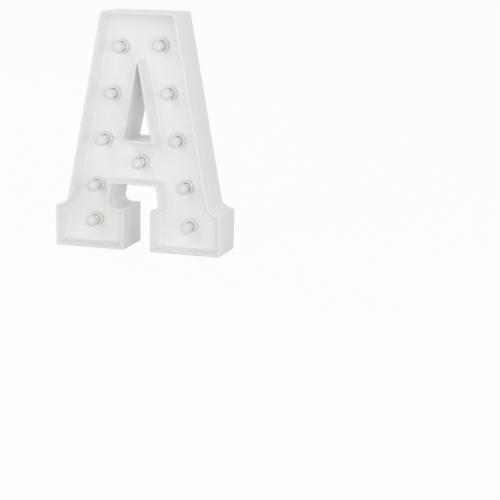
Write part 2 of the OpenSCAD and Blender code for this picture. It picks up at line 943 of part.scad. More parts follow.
// Milky hollow cap: a globe on a neck that pushes over the socket's post
module bulb_cap(i) {
    neck_r = neck_d / 2;
    neck_z = cap_seat_h + seat_gap;
    color("aliceblue")
    at_bulb(i) difference() {
        union() {
            translate([0, 0, globe_z]) sphere(d = globe_d);
            translate([0, 0, neck_z]) cylinder(h = globe_z - neck_z, r = neck_r);
        }
        translate([0, 0, globe_z]) sphere(d = globe_d - 2 * cap_wall);
        cylinder(h = globe_z, r = neck_r - cap_wall);
    }
}

// Socket: a collar on a barrel that snaps through the face, and a post for the cap in its middle.
// The groove between them is open to the back, and three spokes carry the post across it.
module bulb_socket(i) {
    edge = 0.4;
    collar_r = collar_d / 2;
    groove_r = groove_d / 2;
    barrel_r = barrel_d / 2;
    lip_r = barrel_r + slip_gap + lip_overhang;
    led_r = led_d / 2 + seat_gap;
    flange_r = led_flange_d / 2 + slip_gap;
    flange_z = socket_back_z + led_flange_t + seat_gap;
    color("white")
    at_bulb(i) union() {
        rotate_extrude() polygon([
            [collar_r, 0],
            [collar_r, collar_h - edge],
            [collar_r - edge, collar_h],
            [groove_r + edge, collar_h],
            [groove_r, collar_h - edge],
            [groove_r, socket_back_z],
            [barrel_r, socket_back_z],
            [barrel_r, lip_z - lip_h],
            [lip_r, lip_z - lip_h / 2],
            [lip_r, lip_z],
            [barrel_r, lip_z],
            [barrel_r, 0]
        ]);
        rotate_extrude() polygon([
            [led_r, collar_h],
            [post_d / 2, collar_h],
            [post_d / 2, cap_seat_h],
            [neck_d / 2, cap_seat_h],
            [neck_d / 2, socket_back_z],
            [flange_r, socket_back_z],
            [flange_r, flange_z],
            [led_r, flange_z]
        ]);
        for (turn = [90, 210, 330]) {
            rotate([0, 0, turn]) translate([neck_d / 2 - lap, -spoke_w / 2, socket_back_z])
                cube([(groove_d - neck_d) / 2 + 2 * lap, spoke_w, spoke_h]);
        }
    }
}

// Round-topped LED with a flange and two leads
module bulb_led(i) {
    r = led_d / 2;
    dome_z = socket_back_z + led_l - r;
    turn = bulbs[i - 1][2];
    color("lightcyan")
    at_bulb(i) union() {
        translate([0, 0, socket_back_z]) cylinder(h = led_flange_t, d = led_flange_d);
        translate([0, 0, socket_back_z]) cylinder(h = dome_z - socket_back_z, r = r);
        translate([0, 0, dome_z]) sphere(r);
        for (way = [-1, 1]) {
            rotate([0, 0, turn]) translate([way * lead_pitch / 2, 0, (lead_end_z + socket_back_z + lap) / 2])
                cube([lead_w, lead_w, socket_back_z + lap - lead_end_z], center = true);
        }
    }
}

front_shell();
back_cover();
cover_screws();
battery_door();
switch_body();
switch_slider();
battery_cell(1, bay_z + cell_z);  // battery_cell_1
battery_cell(-1, bay_z - cell_z);  // battery_cell_2
battery_spring(-1, bay_z + cell_z);  // battery_spring_1
battery_spring(1, bay_z - cell_z);  // battery_spring_2
contact_positive();
contact_negative();
contact_bridge();
wire_loom_positive();
wire_loom_negative();
switch_lead();
for (i = [1 : BULBS]) {
    bulb_cap(i);
    bulb_socket(i);
    bulb_led(i);
}
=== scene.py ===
import math

import bmesh
import bpy
from mathutils import Matrix, Vector
from mathutils.geometry import delaunay_2d_cdt


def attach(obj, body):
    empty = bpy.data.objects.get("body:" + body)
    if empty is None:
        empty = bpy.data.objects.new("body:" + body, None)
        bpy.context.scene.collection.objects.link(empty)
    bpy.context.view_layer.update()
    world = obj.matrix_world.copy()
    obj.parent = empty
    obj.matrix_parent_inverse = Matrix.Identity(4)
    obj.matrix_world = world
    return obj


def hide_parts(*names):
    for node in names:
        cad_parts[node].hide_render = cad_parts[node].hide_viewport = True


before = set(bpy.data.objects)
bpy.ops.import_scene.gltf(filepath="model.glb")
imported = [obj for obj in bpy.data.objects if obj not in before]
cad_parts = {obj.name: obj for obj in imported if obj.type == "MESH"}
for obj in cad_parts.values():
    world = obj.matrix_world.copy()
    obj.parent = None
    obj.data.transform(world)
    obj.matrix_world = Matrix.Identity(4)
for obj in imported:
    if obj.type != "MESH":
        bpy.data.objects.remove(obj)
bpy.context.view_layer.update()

scene = bpy.context.scene
MM = 0.001

# Sizes of the letter in millimetres, the same as in the part's source
LETTER_H = 220.0
LETTER_W = 162.0
LETTER_D = 45.0
TOP_W = 71.0
LEG_W = 44.2
LEG_LEAN = math.radians(10.8)
CROSSBAR_Z = 62.0
CROSSBAR_H = 41.0
FOOT_H = 38.5
FOOT_GAP = 26.0
OUTER_BRACKET_R = 12.5
INNER_BRACKET_R = 6.5
# How far the gap under the crossbar lies to the left of the middle
GAP_SHIFT = 3.6
WALL = 2.4
FACE_T = 2.0
COVER_T = 2.0
# Wall left standing around the back cover
RIM_LIP = 1.2
# Gap of pieces that are pushed together
SEAT_GAP = 0.05
# Gap of pieces that slide into a hole
SLIP_GAP = 0.1
# How far joined shapes run into each other
LAP = 0.4

# Depth planes
FRONT_Y = -LETTER_D / 2
BACK_Y = LETTER_D / 2
FACE_Y = -2.5
FACE_BACK_Y = FACE_Y + FACE_T
COVER_Y = BACK_Y - COVER_T

# The legs' sloping lines, moved inwards by d
LEAN = math.tan(LEG_LEAN)
SLANT = 1 / math.cos(LEG_LEAN)
APEX_Z = LETTER_H - (LEG_W - TOP_W / 2) / LEAN


def outer_x(z, d):
    return TOP_W / 2 + LEAN * (LETTER_H - z) - d * SLANT


def inner_x(z, d):
    return LEAN * (APEX_Z - z) + d * SLANT


def gap_x(z, d, side):
    """Inner edge of a leg under the crossbar; side is 1 on the right and -1 on the left."""
    return inner_x(z, d) - side * GAP_SHIFT


def leg_middle_x(z):
    return inner_x(z, 0) + LEG_W / 2


# Places of the bulbs and of the screw bosses

BULB_TOP_DROP = 31.4
BULB_PITCH = 43.2
LEG_BULBS = 4
BULB_ROWS = [LETTER_H - BULB_TOP_DROP - BULB_PITCH * row for row in range(LEG_BULBS)]
# How much higher the right leg's bulbs sit than the left leg's
BULB_STAGGER = 2.4
# How far the bulbs of the legs and the crossbar lie to the left of the middle
BULB_SHIFT = 1.2
# Row of the legs after which the crossbar's bulb is counted, and its height above the underside
BAR_ROW = 2
BAR_BULB_RISE = 19.5
FOOT_BULB_Z = 24.0
BOSS_INSET = 12.0


def bulb_places():
    """Places (x, z) in rows from the top, the left leg's first, with the two feet last."""
    places = []
    for row, row_z in enumerate(BULB_ROWS):
        for side in (-1, 1):
            z = row_z + side * BULB_STAGGER / 2
            places.append((side * leg_middle_x(z) - BULB_SHIFT, z))
        if row == BAR_ROW:
            places.append((-BULB_SHIFT, CROSSBAR_Z + BAR_BULB_RISE))
    foot_x = (LETTER_W + FOOT_GAP) / 4
    return places + [(-foot_x, FOOT_BULB_Z), (foot_x, FOOT_BULB_Z)]


def boss_places():
    """Places (x, z) by the top corners, on the inner side of each leg and by the feet's outer corners."""
    leg_z = (BULB_ROWS[1] + BULB_ROWS[2]) / 2
    right = [
        (TOP_W / 2 - BOSS_INSET, LETTER_H - BOSS_INSET),
        (inner_x(leg_z, 0) + BOSS_INSET, leg_z),
        (LETTER_W / 2 - BOSS_INSET, BOSS_INSET),
    ]
    return [(side * x, z) for side in (-1, 1) for x, z in right]


BULBS = bulb_places()
BOSSES = boss_places()


# Outline of the letter, as points (x, z)

# Radius of the outline's corners, how much it shrinks per millimetre inwards, and the least that is left
CORNER_SOFT = 0.8
CORNER_SOFT_LOSS = 0.2
CORNER_SOFT_LEAST = 0.3
# Radius of the corners on the crossbar
BAR_SOFT = 0.5
# Radius of the tip of the triangle above the crossbar
TIP_SOFT = 0.25
# Distance that keeps two points of the outline from meeting
POINT_GAP = 0.05
# Steps of each arc
CORNER_STEPS = 4
OUTER_BRACKET_STEPS = 14
INNER_BRACKET_STEPS = 10
TIP_STEPS = 12


def round_corner(before, corner, after, r, n=CORNER_STEPS):
    """Points of a small arc that takes the place of a corner."""
    u = (corner - before).normalized()
    v = (after - corner).normalized()
    turn = math.atan2(u.x * v.y - u.y * v.x, u.dot(v))
    side = 1 if turn > 0 else -1
    reach = r * math.tan(abs(turn) / 2)
    start = corner - u * reach
    middle = start + Vector((-u.y, u.x)) * side * r
    arm = start - middle
    points = []
    for i in range(n + 1):
        a = turn * i / n
        x = arm.x * math.cos(a) - arm.y * math.sin(a)
        y = arm.x * math.sin(a) + arm.y * math.cos(a)
        points.append(middle + Vector((x, y)))
    return points


def arc(middle, r, start, end, n):
    """Points of an arc about its middle, from one angle to another."""
    points = []
    for i in range(n + 1):
        a = start + (end - start) * i / n
        points.append(middle + Vector((math.cos(a), math.sin(a))) * r)
    return points


def mirrored(points):
    return [Vector((-p.x, p.y)) for p in reversed(points)]


def outer_bracket(d, soft):
    """Arc from the outer side of the right leg to the top of its foot."""
    z = FOOT_H + OUTER_BRACKET_R
    middle = Vector((outer_x(z, 0) + OUTER_BRACKET_R * SLANT, z))
    r = OUTER_BRACKET_R + d
    start = math.atan2(-LEAN, -1.0) + 2 * math.pi
    end_x = min(middle.x, LETTER_W / 2 - d - soft)
    end = 1.5 * math.pi - math.asin((middle.x - end_x) / r)
    return arc(middle, r, start, end, OUTER_BRACKET_STEPS)


def inner_bracket(d, soft, side):
    """Arc from the top of a foot to the inner side of its leg, drawn on the right."""
    z = FOOT_H + INNER_BRACKET_R
    middle = Vector((gap_x(z, 0, side) - INNER_BRACKET_R * SLANT, z))
    r = INNER_BRACKET_R + d
    start_x = max(middle.x, FOOT_GAP / 2 + d + soft + POINT_GAP)
    start = math.asin((start_x - middle.x) / r) - 0.5 * math.pi
    return arc(middle, r, start, math.atan2(LEAN, 1.0), INNER_BRACKET_STEPS)


def half_outline(d, side):
    """One half of the outline from the top to the crossbar, moved inwards by d and drawn on the right."""
    soft = max(CORNER_SOFT - CORNER_SOFT_LOSS * d, CORNER_SOFT_LEAST)
    top = Vector((outer_x(LETTER_H - d, d), LETTER_H - d))
    outer = outer_bracket(d, soft)
    inner = inner_bracket(d, soft, side)
    bar = Vector((gap_x(CROSSBAR_Z + d, d, side), CROSSBAR_Z + d))
    foot_out = LETTER_W / 2 - d
    foot_in = FOOT_GAP / 2 + d
    foot = [
        outer[-1],
        Vector((foot_out, outer[-1].y)),
        Vector((foot_out, d)),
        Vector((foot_in, d)),
        Vector((foot_in, inner[0].y)),
        inner[0],
    ]
    points = round_corner(Vector((0, top.y)), top, outer[0], soft)
    points += outer[:-1]
    for before, corner, after in zip(foot, foot[1:], foot[2:]):
        points += round_corner(before, corner, after, soft)
    points += inner
    points += round_corner(inner[-1], bar, Vector((0, bar.y)), BAR_SOFT)
    return points


def outline(d):
    return half_outline(d, 1) + mirrored(half_outline(d, -1))


def counter(d):
    """The closed triangle above the crossbar, grown by d."""
    base_z = CROSSBAR_Z + CROSSBAR_H - d
    base = Vector((inner_x(base_z, d), base_z))
    middle = Vector((0, APEX_Z - TIP_SOFT / math.sin(LEG_LEAN)))
    top = arc(middle, TIP_SOFT + d, math.pi - LEG_LEAN, LEG_LEAN, TIP_STEPS)
    right = round_corner(top[-1], base, Vector((0, base_z)), BAR_SOFT)
    return top + right + mirrored(right)


# Mesh helpers

# Radius under which a point of a profile counts as lying on the axis
ON_AXIS = 1e-6
# Weight of large faces in the shading of a corner, where 50 is even
NORMAL_WEIGHT = 60


def new_object(name, bm, smooth=True):
    mesh = bpy.data.meshes.new(name)
    bm.to_mesh(mesh)
    bm.free()
    if smooth:
        mesh.polygons.foreach_set("use_smooth", [True] * len(mesh.polygons))
    obj = bpy.data.objects.new(name, mesh)
    scene.collection.objects.link(obj)
    return obj


def weighted(obj):
    """Keeps flat faces evenly shaded beside rounded edges."""
    modifier = obj.modifiers.new("even_normals", "WEIGHTED_NORMAL")
    modifier.mode = "FACE_AREA"
    modifier.weight = NORMAL_WEIGHT
    modifier.keep_sharp = True
    return obj


def wear(obj, mat):
    obj.data.materials.clear()
    obj.data.materials.append(mat)


def stand_for(obj, node):
    """Sets a piece on the housing, in place of a CAD node."""
    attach(obj, "housing")
    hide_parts(node)


def place(x, y, z, angle, axis):
    """A turn about an axis, and a move in millimetres."""
    return Matrix.Translation((x * MM, y * MM, z * MM)) @ Matrix.Rotation(angle, 4, axis)


def add_piece(bm, piece):
    """Adds the mesh of a piece to bm."""
    mesh = bpy.data.meshes.new("piece")
    piece.to_mesh(mesh)
    piece.free()
    bm.from_mesh(mesh)
    bpy.data.meshes.remove(mesh)


def bridge(bm, a, b, turned=False):
    """Quads between two rings of the same length."""
    n = len(a)
    for i in range(n):
        j = (i + 1) % n
        corners = (a[i], a[j], b[j], b[i])
        bm.faces.new(corners[::-1] if turned else corners)


def ring_of(bm, r, h, n):
    """A ring of n vertices round Z, or one vertex on the axis."""
    if r < ON_AXIS:
        return [bm.verts.new((0, 0, h * MM))]
    angles = [2 * math.pi * k / n for k in range(n)]
    return [bm.verts.new((r * MM * math.cos(a), r * MM * math.sin(a), h * MM)) for a in angles]


def lathe(bm, profile, n, closed=False):
    """Turns a profile of (radius, height) points round Z, in n steps."""
    rings = [ring_of(bm, r, h, n) for r, h in profile]
    pairs = list(zip(rings, rings[1:]))
    if closed:
        pairs.append((rings[-1], rings[0]))
    for a, b in pairs:
        if len(a) == 1 and len(b) == 1:
            continue
        for k in range(n):
            j = (k + 1) % n
            if len(a) == 1:
                bm.faces.new((a[0], b[k], b[j]))
            elif len(b) == 1:
                bm.faces.new((a[k], b[0], a[j]))
            else:
                bm.faces.new((a[k], b[k], b[j], a[j]))


def soft_profile(corners, n):
    """Rounds a profile's corners (x, y, radius) in n steps each; a radius of 0 leaves the corner sharp."""
    points = []
    for i, (x, y, r) in enumerate(corners):
        if r == 0:
            points.append((x, y))
            continue
        before = Vector(corners[i - 1][:2])
        after = Vector(corners[(i + 1) % len(corners)][:2])
        points += [tuple(p) for p in round_corner(before, Vector((x, y)), after, r, n)]
    return points


def box_mesh(bm, low, high):
    x0, y0, z0 = [v * MM for v in low]
    x1, y1, z1 = [v * MM for v in high]
    v = [bm.verts.new(c) for c in (
        (x0, y0, z0), (x1, y0, z0), (x1, y1, z0), (x0, y1, z0),
        (x0, y0, z1), (x1, y0, z1), (x1, y1, z1), (x0, y1, z1))]
    for f in ((3, 2, 1, 0), (4, 5, 6, 7), (0, 1, 5, 4), (1, 2, 6, 5), (2, 3, 7, 6), (3, 0, 4, 7)):
        bm.faces.new([v[i] for i in f])


def inside(p, loop):
    """Tells whether a point lies within a closed loop of points."""
    hit = False
    for a, b in zip(loop, loop[1:] + loop[:1]):
        if (a.y > p.y) != (b.y > p.y) and p.x < a.x + (p.y - a.y) / (b.y - a.y) * (b.x - a.x):
            hit = not hit
    return hit


# Front shell: lofted walls with rounded edges, and a face with a bore for each socket

BARREL_R = 5.3
HOLE_R = BARREL_R + SLIP_GAP
HOLE_SIDES = 32
# A triangle whose middle lies further than this inside a bore's edge is part of the bore
HOLE_EDGE = 0.05
# Radii of the edges: the cover's ledge, the lip round it, the back, the front rim and the face's corner
LEDGE_SOFT = 0.15
LIP_SOFT = 0.3
BACK_SOFT = 0.4
RIM_SOFT = 0.6
FACE_SOFT = 1.2
WALL_STEPS = 4
# Screw bosses, which start a little inside the face
BOSS_R = 3.0
BOSS_BORE_R = 1.3
BOSS_SINK = 0.2
BOSS_SIDES = 24
# Triangulation: only triangles inside the loops, and points this close are taken as one
INSIDE_ONLY = 1
SAME_POINT = 1e-5


def wall_profile():
    """Points (distance inwards, Y) from behind the face, round the back and the front rim, to the face."""
    corners = [
        (WALL, FACE_BACK_Y, 0), (WALL, COVER_Y, 0),
        (RIM_LIP, COVER_Y, LEDGE_SOFT), (RIM_LIP, BACK_Y, LIP_SOFT),
        (0, BACK_Y, BACK_SOFT), (0, FRONT_Y, RIM_SOFT),
        (WALL, FRONT_Y, RIM_SOFT), (WALL, FACE_Y, FACE_SOFT),
        (WALL + 2 * FACE_SOFT, FACE_Y, 0),
    ]
    return soft_profile(corners, WALL_STEPS)[:-1]


def add_walls(bm):
    """Lofts the walls along the letter's two loops, and returns their rings at the face and behind it."""
    front, back = [], []
    for shape, turned in ((outline, True), (counter, False)):
        rings = []
        for d, y in wall_profile():
            rings.append([bm.verts.new((p.x * MM, y * MM, p.y * MM)) for p in shape(d)])
        for a, b in zip(rings, rings[1:]):
            bridge(bm, a, b, turned)
        front.append(rings[-1])
        back.append(rings[0])
    return front, back


def add_bores(bm):
    """Makes the bores through the face, and returns their rings in front and behind."""
    angles = [2 * math.pi * k / HOLE_SIDES for k in range(HOLE_SIDES)]
    front, back = [], []
    for x, z in BULBS:
        circle = [(x + HOLE_R * math.cos(a), z + HOLE_R * math.sin(a)) for a in angles]
        for rings, y in ((front, FACE_Y), (back, FACE_BACK_Y)):
            rings.append([bm.verts.new((u * MM, y * MM, v * MM)) for u, v in circle])
        bridge(bm, front[-1], back[-1])
    return front, back


def fill_face(bm, loops, holes, turned=False):
    """Fills the letter's area between the two loops, with the holes left open."""
    verts, points, edges = [], [], []
    for ring in loops + holes:
        first = len(verts)
        verts += ring
        points += [Vector((v.co.x / MM, v.co.z / MM)) for v in ring]
        edges += [(first + i, first + (i + 1) % len(ring)) for i in range(len(ring))]
    split = len(loops[0])
    outer = points[:split]
    inner = points[split:split + len(loops[1])]
    result = delaunay_2d_cdt(points, edges, [], INSIDE_ONLY, SAME_POINT)
    coords, faces, sources = result[0], result[2], result[3]
    for face in faces:
        middle = sum((coords[i] for i in face), Vector((0, 0))) / 3
        if not inside(middle, outer) or inside(middle, inner):
            continue
        if any((middle - Vector(b)).length < HOLE_R - HOLE_EDGE for b in BULBS):
            continue
        corners = [verts[sources[i][0]] for i in face]
        bm.faces.new(corners[::-1] if turned else corners)


def add_bosses(bm):
    length = COVER_Y - FACE_BACK_Y
    profile = [(BOSS_R, -BOSS_SINK), (BOSS_R, length), (BOSS_BORE_R, length), (BOSS_BORE_R, -BOSS_SINK)]
    for x, z in BOSSES:
        boss = bmesh.new()
        lathe(boss, profile, BOSS_SIDES, True)
        bmesh.ops.recalc_face_normals(boss, faces=boss.faces)
        boss.transform(place(x, FACE_BACK_Y, z, -math.pi / 2, "X"))
        add_piece(bm, boss)


def make_front_shell(mat):
    bm = bmesh.new()
    front_loops, back_loops = add_walls(bm)
    front_holes, back_holes = add_bores(bm)
    fill_face(bm, front_loops, front_holes)
    fill_face(bm, back_loops, back_holes, True)
    add_bosses(bm)
    housing = weighted(new_object("letter_housing", bm))
    wear(housing, mat)
    stand_for(housing, "front_shell")


# Bulbs: heights are above the face, and the groove round each neck is narrower than in the solids

GLOBE_R = 5.3
# How far the globes stay behind the front rim
GLOBE_SETBACK = 0.2
GLOBE_H = FACE_Y - FRONT_Y - GLOBE_SETBACK - GLOBE_R
NECK_R = 3.95
CAP_WALL = 0.7
# Height of a cap's seat, and the chamfer at the cap's foot
CAP_SEAT_H = 1.0
CAP_CHAMFER = 0.25
# Rings that keep the neck's shading straight
NECK_RINGS = (4.0, 8.0)
# Pinched joint of neck and globe: distance of the neck's end below the globe, and extra angle of the globe
PINCH_H = 0.6
PINCH_ANGLE = 0.10
# Moulding line round the globe: its height, and its spread as an angle
SEAM_T = 0.05
SEAM_SPREAD = 0.035
GLOBE_STEPS = 34
HOLLOW_STEPS = 16
BULB_SIDES = 48

COLLAR_R = 6.2
COLLAR_H = 4.5
# Collar's draft, and its flared foot with the height of the flare
COLLAR_DRAFT = 0.1
FLARE_W = 0.25
FLARE_H = 0.3
# Underside of the collar: its rim is sunk into the face, and its inner edge is clear of it
FLARE_SINK = 0.03
COLLAR_CLEAR = 0.02
GROOVE_R = 4.4
# Snap lip behind the face, and the barrel's tail behind it
LIP_OVERHANG = 0.3
LIP_H = 1.0
LIP_Z = -FACE_T - SLIP_GAP
SOCKET_TAIL = 0.5
SOCKET_BACK = LIP_Z - LIP_H - SOCKET_TAIL
# Post that the cap pushes over, with the bore of the LED and the seat of the LED's flange
POST_R = 3.05
LED_BORE_R = 2.55
FLANGE_SEAT_R = 3.0
FLANGE_T = 1.0
FLANGE_SEAT_Z = SOCKET_BACK + FLANGE_T + SEAT_GAP
POST_SIDES = 40
# Spokes that carry the post
SPOKE_W = 1.6
SPOKE_H = 1.2
SPOKE_TURNS = (90, 210, 330)
# Radii of the collar's edges: flare, rim, groove and barrel
FLARE_SOFT = 0.2
COLLAR_SOFT = 0.5
GROOVE_SOFT = 0.35
BARREL_SOFT = 0.2
COLLAR_STEPS = 3
# Radii of the post's edges: bore, rim and shoulder
BORE_SOFT = 0.1
POST_SOFT = 0.2
SHOULDER_SOFT = 0.15
POST_STEPS = 2


def cap_profile():
    """Outline of the milky cap: neck, globe with a faint moulding line, and the hollow inside."""
    foot_h = CAP_SEAT_H + SEAT_GAP
    join = math.asin(NECK_R / GLOBE_R)
    neck_end = GLOBE_H - GLOBE_R * math.cos(join) - PINCH_H
    points = [(NECK_R - CAP_CHAMFER, foot_h), (NECK_R, foot_h + CAP_CHAMFER)]
    points += [(NECK_R, h) for h in (*NECK_RINGS, neck_end)]
    for i in range(GLOBE_STEPS):
        a = (math.pi - join + PINCH_ANGLE) * (1 - i / GLOBE_STEPS)
        seam = SEAM_T * math.exp(-((a - math.pi / 2) / SEAM_SPREAD) ** 2)
        points.append(((GLOBE_R + seam) * math.sin(a), GLOBE_H + GLOBE_R * math.cos(a)))
    points.append((0.0, GLOBE_H + GLOBE_R))
    inner_r = GLOBE_R - CAP_WALL
    inner_join = math.asin((NECK_R - CAP_WALL) / inner_r)
    for i in range(HOLLOW_STEPS + 1):
        a = (math.pi - inner_join) * i / HOLLOW_STEPS
        points.append((inner_r * math.sin(a), GLOBE_H + inner_r * math.cos(a)))
    points.append((NECK_R - CAP_WALL, foot_h))
    return points


def collar_profile():
    """Outline of the collar and its barrel, as corners (radius, height, radius of the corner)."""
    lip_r = HOLE_R + LIP_OVERHANG
    lip_back = LIP_Z - LIP_H
    return [
        (COLLAR_R + FLARE_W, -FLARE_SINK, 0), (COLLAR_R, FLARE_H, FLARE_SOFT),
        (COLLAR_R - COLLAR_DRAFT, COLLAR_H, COLLAR_SOFT), (GROOVE_R, COLLAR_H, GROOVE_SOFT),
        (GROOVE_R, SOCKET_BACK, BARREL_SOFT), (BARREL_R, SOCKET_BACK, BARREL_SOFT),
        (BARREL_R, lip_back, 0), (lip_r, lip_back + LIP_H / 2, 0), (lip_r, LIP_Z, 0), (BARREL_R, LIP_Z, 0),
        (BARREL_R, COLLAR_CLEAR, 0),
    ]


def post_profile():
    """Outline of the post inside the groove, as corners (radius, height, radius of the corner)."""
    return [
        (LED_BORE_R, COLLAR_H, BORE_SOFT), (POST_R, COLLAR_H, POST_SOFT), (POST_R, CAP_SEAT_H, 0),
        (NECK_R, CAP_SEAT_H, SHOULDER_SOFT), (NECK_R, SOCKET_BACK, SHOULDER_SOFT),
        (FLANGE_SEAT_R, SOCKET_BACK, 0), (FLANGE_SEAT_R, FLANGE_SEAT_Z, 0), (LED_BORE_R, FLANGE_SEAT_Z, 0),
    ]


def set_at_bulbs(first, piece, node):
    """Sets the first piece and a copy of it at each bulb, in place of the CAD nodes."""
    for i, (x, z) in enumerate(BULBS, 1):
        obj = first
        if i > 1:
            obj = first.copy()
            obj.name = f"{piece}{i}"
            scene.collection.objects.link(obj)
        obj.matrix_world = place(x, FACE_Y, z, math.pi / 2, "X")
        stand_for(obj, f"{node}{i}")


def make_caps(mat):
    bm = bmesh.new()
    lathe(bm, cap_profile(), BULB_SIDES, True)
    bmesh.ops.recalc_face_normals(bm, faces=bm.faces)
    first = new_object("bulb_globe_1", bm)
    wear(first, mat)
    set_at_bulbs(first, "bulb_globe_", "bulb_cap_")


def make_sockets(mat):
    bm = bmesh.new()
    lathe(bm, soft_profile(collar_profile(), COLLAR_STEPS), BULB_SIDES, True)
    lathe(bm, soft_profile(post_profile(), POST_STEPS), POST_SIDES, True)
    spoke_low = (NECK_R - LAP, -SPOKE_W / 2, SOCKET_BACK)
    spoke_high = (GROOVE_R + LAP, SPOKE_W / 2, SOCKET_BACK + SPOKE_H)
    for turn in SPOKE_TURNS:
        spoke = bmesh.new()
        box_mesh(spoke, spoke_low, spoke_high)
        spoke.transform(Matrix.Rotation(math.radians(turn), 4, "Z"))
        add_piece(bm, spoke)
    bmesh.ops.recalc_face_normals(bm, faces=bm.faces)
    first = weighted(new_object("bulb_collar_1", bm))
    wear(first, mat)
    set_at_bulbs(first, "bulb_collar_", "bulb_socket_")


# Battery cells and springs: the bay's middle is on the crossbar

CELL_D = 14.5
CELL_R = CELL_D / 2
CELL_L = 50.5
CELL_GAP = 0.4
DOOR_T = 1.6
CONTACT_T = 0.4
# Height of a contact's raised nub, which meets a cell's button
NUB_H = 0.8
SPRING_L = 5.4
BAY_Z = CROSSBAR_Z + CROSSBAR_H / 2
BAY_HALF_L = (CELL_L + SPRING_L + NUB_H + 2 * CONTACT_T + 4 * SEAT_GAP) / 2
CELL_Y = BACK_Y - DOOR_T - CELL_GAP - CELL_R
# Distance of each cell from the middle of the bay
CELL_Z = (CELL_D + CELL_GAP) / 2
# Inner side of each contact plate
PLATE_X = BAY_HALF_L - SEAT_GAP - CONTACT_T

# Length of the can without its button
CAN_L = 49.2
# Button: radius, flat tip, and the points (outwards, up) of its foot and (inwards, down) of its edge
BUTTON_R = 2.75
BUTTON_FLAT_R = 1.0
BUTTON_FOOT = ((0.45, 0.0), (0.2, 0.2))
BUTTON_EDGE = ((0.0, 0.4), (0.3, 0.05))
# Pressed ring in the can's foot: its radii, its depth and the width of its slopes
FOOT_RING_R = (4.6, 6.5)
FOOT_RING_T = 0.25
FOOT_RING_SLOPE = 0.3
# Edges of the can's foot and shoulder, as width and height
FOOT_EDGE = (0.3, 0.35)
SHOULDER_EDGE = (0.35, 0.5)
# Width of the shoulder's rolled rim, and depth of the seal inside it
SHOULDER_RIM_W = 0.6
SEAL_T = 0.3
# Fine grooves round the can: heights of their middles, half height and depth
BEAD_HEIGHTS = (1.0, 48.0)
BEAD_HALF_H = 0.1
BEAD_T = 0.07
CELL_SIDES = 64

SPRING_TURNS = 4
SPRING_WIRE_R = 0.35
SPRING_BASE_R = 4.4
SPRING_TIP_R = 2.8
STEPS_PER_TURN = 28
WIRE_SIDES = 12


def cell_profile():
    """Outline of a cell, as (radius, height): pressed foot, beaded can, rolled shoulder and button."""
    ring_in, ring_out = FOOT_RING_R
    rim_r = CELL_R - SHOULDER_EDGE[0]
    seal_h = CAN_L - SEAL_T
    foot = [
        (0, 0), (ring_in, 0), (ring_in + FOOT_RING_SLOPE, FOOT_RING_T),
        (ring_out - FOOT_RING_SLOPE, FOOT_RING_T), (ring_out, 0),
        (CELL_R - FOOT_EDGE[0], 0), (CELL_R, FOOT_EDGE[1]),
    ]
    can = []
    for h in BEAD_HEIGHTS:
        can += [(CELL_R, h - BEAD_HALF_H), (CELL_R - BEAD_T, h), (CELL_R, h + BEAD_HALF_H)]
    shoulder = [
        (CELL_R, CAN_L - SHOULDER_EDGE[1]), (rim_r, CAN_L),
        (rim_r - SHOULDER_RIM_W, CAN_L), (rim_r - SHOULDER_RIM_W - SEAL_T, seal_h),
    ]
    button = [(BUTTON_R + out, seal_h + up) for out, up in BUTTON_FOOT]
    button.append((BUTTON_R, CAN_L))
    button += [(BUTTON_R - inwards, CELL_L - down) for inwards, down in BUTTON_EDGE]
    button += [(BUTTON_FLAT_R, CELL_L), (0, CELL_L)]
    return foot + can + shoulder + button


def make_cells(mat):
    """Two cells side by side, the upper one with its button to the right and the lower one to the left."""
    tip = PLATE_X - NUB_H - SEAT_GAP
    for i, side in ((1, 1), (2, -1)):
        bm = bmesh.new()
        lathe(bm, cell_profile(), CELL_SIDES)
        bmesh.ops.recalc_face_normals(bm, faces=bm.faces)
        obj = weighted(new_object(f"cell_{i}", bm))
        wear(obj, mat)
        seat = place(side * tip, CELL_Y, BAY_Z + side * CELL_Z, side * math.pi / 2, "Y")
        obj.matrix_world = seat @ Matrix.Translation((0, 0, -CELL_L * MM))
        stand_for(obj, f"battery_cell_{i}")


def spring_path():
    """Middle line of a conical spring that stands on its wide end."""
    steps = SPRING_TURNS * STEPS_PER_TURN
    points = []
    for s in range(steps + 1):
        t = s / steps
        a = 2 * math.pi * SPRING_TURNS * t
        r = SPRING_BASE_R + (SPRING_TIP_R - SPRING_BASE_R) * t
        h = SPRING_WIRE_R + (SPRING_L - 2 * SPRING_WIRE_R) * t
        points.append(Vector((r * math.cos(a), r * math.sin(a), h)))
    return points


def spring_mesh():
    """Round wire along the spring's middle line."""
    bm = bmesh.new()
    path = spring_path()
    angles = [2 * math.pi * k / WIRE_SIDES for k in range(WIRE_SIDES)]
    rings = []
    for before, p, after in zip(path[:1] + path, path, path[1:] + path[-1:]):
        along = (after - before).normalized()
        out = along.cross(Vector((0, 0, 1))).normalized()
        up = out.cross(along)
        rings.append([
            bm.verts.new((p + (out * math.cos(a) + up * math.sin(a)) * SPRING_WIRE_R) * MM) for a in angles
        ])
    for a, b in zip(rings, rings[1:]):
        bridge(bm, a, b)
    bm.faces.new(rings[0])
    bm.faces.new(rings[-1])
    bmesh.ops.recalc_face_normals(bm, faces=bm.faces)
    return bm


def make_springs(mat):
    """One spring at the foot of each cell, in the place and with the turns of the CAD springs."""
    for i, side in ((1, -1), (2, 1)):
        obj = new_object(f"spring_{i}", spring_mesh())
        wear(obj, mat)
        obj.matrix_world = place(side * PLATE_X, CELL_Y, BAY_Z - side * CELL_Z, -side * math.pi / 2, "Y")
        stand_for(obj, f"battery_spring_{i}")


# Materials

# Part of a noise's range that is spread between two tones or two values
NOISE_LOW = 0.3
NOISE_HIGH = 0.7
BEVEL_SAMPLES = 4
